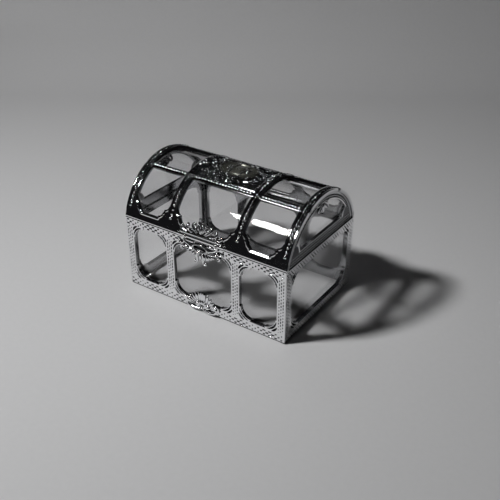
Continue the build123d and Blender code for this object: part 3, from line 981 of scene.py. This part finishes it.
def pale_card():
    """Pale grey card with a faint gloss."""
    material, add, link = shader_material("pale_card")
    card = add("BsdfPrincipled", Specular_IOR_Level=0.12)
    noise, bump = moulded_bump(add, link, 420.0, 0.08, 0.0002)
    tone = add("Mix")
    tone.data_type = "RGBA"
    tone.inputs["A"].default_value = (0.60, 0.60, 0.605, 1)
    tone.inputs["B"].default_value = (0.63, 0.63, 0.635, 1)
    gloss = add("MapRange", To_Min=0.36, To_Max=0.46)
    link(noise.outputs["Fac"], tone.inputs["Factor"])
    link(noise.outputs["Fac"], gloss.inputs["Value"])
    link(tone.outputs["Result"], card.inputs["Base Color"])
    link(gloss.outputs["Result"], card.inputs["Roughness"])
    link(bump.outputs["Normal"], card.inputs["Normal"])
    link(card.outputs["BSDF"], add("OutputMaterial").inputs["Surface"])
    return material


centre = Vector((0.010976, -0.007509, 0.0261))
stage_turn = radians(34.1)
facing_back = Vector((-sin(stage_turn), cos(stage_turn), 0))
sideways = Vector((cos(stage_turn), sin(stage_turn), 0))


def stage_sheet(name, rows, material):
    """A sheet of card through rows of points (sideways, backwards, up), in metres from under the centre."""
    under = Vector((centre.x, centre.y, 0))
    points = []
    for row in rows:
        for x, y, z in row:
            points.append(under + sideways * x + facing_back * y + Vector((0, 0, z)))
    wide = len(rows[0])
    faces = []
    for n in range(len(rows) - 1):
        for k in range(wide - 1):
            a = n * wide + k
            faces.append([a, a + 1, a + wide + 1, a + wide])
    mesh = bpy.data.meshes.new(name)
    mesh.from_pydata(points, [], faces)
    mesh.shade_smooth()
    mesh.materials.append(material)
    sheet = bpy.data.objects.new(name, mesh)
    bpy.context.scene.collection.objects.link(sheet)
    return sheet


card = pale_card()
card_half, card_front = 0.19, -0.25
bend_half, bend_start, bend_radius, bend_angle, bend_end = 0.34, 0.29, 0.10, radians(80), 0.05
beyond = 5.0


def flat_sheet(name, left, right, front, back):
    """A flat sheet of card on the table."""
    rows = [[(x, y, 0) for x in (left, right)] for y in (front, back)]
    return stage_sheet(name, rows, card)


flat_sheet("card", -card_half, card_half, card_front, bend_start)
bend = []
for angle in np.linspace(0, bend_angle, 25):
    bend.append((bend_start + bend_radius * sin(angle), bend_radius * (1 - cos(angle))))
bend.append((bend[-1][0] + bend_end * cos(bend_angle), bend[-1][1] + bend_end * sin(bend_angle)))
stage_sheet("card_bend", [[(x, y, z) for x in (-bend_half, bend_half)] for y, z in bend], card)

# The table reaches past the card on all sides. The plating mirrors the near card and the dark room, and not
# the table.
table = [
    flat_sheet("table_0", -beyond, -card_half, card_front, bend_start),
    flat_sheet("table_1", card_half, beyond, card_front, bend_start),
    flat_sheet("table_2", -beyond, beyond, -beyond, card_front),
    flat_sheet("table_3", -beyond, beyond, bend_start, beyond),
]
for sheet in table:
    sheet.visible_glossy = False


def aim(thing, direction, distance, roll=0):
    """Places a thing in a direction from the object's centre and turns it to face the centre."""
    thing.location = centre + Vector(direction).normalized() * distance
    towards = (centre - thing.location).to_track_quat("-Z", "Y")
    thing.rotation_euler = (towards @ Matrix.Rotation(radians(roll), 3, "Z").to_quaternion()).to_euler()


def softbox(name, direction, distance, width, height, power, spread=180):
    """A rectangular lamp that faces the object from a direction."""
    lamp = bpy.data.lights.new(name, "AREA")
    lamp.shape = "RECTANGLE"
    lamp.size = width
    lamp.size_y = height
    lamp.energy = power
    lamp.spread = radians(spread)
    holder = bpy.data.objects.new(name, lamp)
    aim(holder, direction, distance)
    bpy.context.scene.collection.objects.link(holder)
    return holder


key_direction, key_distance = (-0.472, -0.503, 0.724), 0.85
key = softbox("key_softbox", key_direction, key_distance, width=0.105, height=0.095, power=1.70, spread=95)
key.visible_glossy = False
key.visible_transmission = False
softbox("back_softbox", (-0.46, 0.42, 0.78), 1.2, width=0.14, height=0.03, power=0.12)

# The key lamp's six-sided cloth front, which the plating and the clear vault mirror. It stands a little to
# one side of the lamp that lights the card.
cloth_shift, cloth_radius = 0.054, 0.088
cloth, add, link = shader_material("softbox_cloth")
shine = add("Emission", Color=(1.0, 0.995, 0.99, 1), Strength=32.0)
link(shine.outputs["Emission"], add("OutputMaterial").inputs["Surface"])
mesh = bpy.data.meshes.new("softbox_front")
corners = []
for n in range(6):
    corners.append((cloth_shift + cloth_radius * cos(n * pi / 3), cloth_radius * sin(n * pi / 3), 0))
mesh.from_pydata(corners, [], [list(range(6))])
mesh.materials.append(cloth)
front = bpy.data.objects.new("softbox_front", mesh)
aim(front, key_direction, key_distance, 12)
bpy.context.scene.collection.objects.link(front)
front.visible_camera = False
front.visible_diffuse = False
front.visible_transmission = False
front.visible_shadow = False

# The room is all but black to what it lights and to the plating. Looked at straight, or through the clear
# walls, it shows its grey back wall.
world = bpy.data.worlds.new("dark_room")
bpy.context.scene.world = world
add, link = shader_nodes(world)
room = add("Background", Color=(0.006, 0.006, 0.0065, 1))
wall = add("Background", Color=(0.23, 0.23, 0.235, 1))
path = add("LightPath")
bounces = add("Math")
unbounced = add("Math")
unbounced.operation = "LESS_THAN"
mix = add("MixShader")
link(path.outputs["Glossy Depth"], bounces.inputs[0])
link(path.outputs["Diffuse Depth"], bounces.inputs[1])
link(bounces.outputs["Value"], unbounced.inputs[0])
link(unbounced.outputs["Value"], mix.inputs["Fac"])
link(room.outputs["Background"], mix.inputs[1])
link(wall.outputs["Background"], mix.inputs[2])
link(mix.outputs["Shader"], add("OutputWorld").inputs["Surface"])

# ---- Camera --------------------------------------------------------------------------------------
camera_data = bpy.data.cameras.new("camera")
camera_data.lens = 53.64
camera_data.sensor_width = 36.0
camera_data.clip_start = 0.01
camera = bpy.data.objects.new("camera", camera_data)
azimuth, elevation, distance, roll = radians(34.108), radians(30.73), 0.3487, radians(0.12)
away = Vector((sin(azimuth) * cos(elevation), -cos(azimuth) * cos(elevation), sin(elevation)))
camera.location = centre + away * distance
towards = (-away).to_track_quat("-Z", "Y")
camera.rotation_euler = (towards @ Matrix.Rotation(roll, 3, "Z").to_quaternion()).to_euler()
bpy.context.scene.collection.objects.link(camera)
bpy.context.scene.camera = camera
bpy.context.scene.view_settings.view_transform = "Standard"
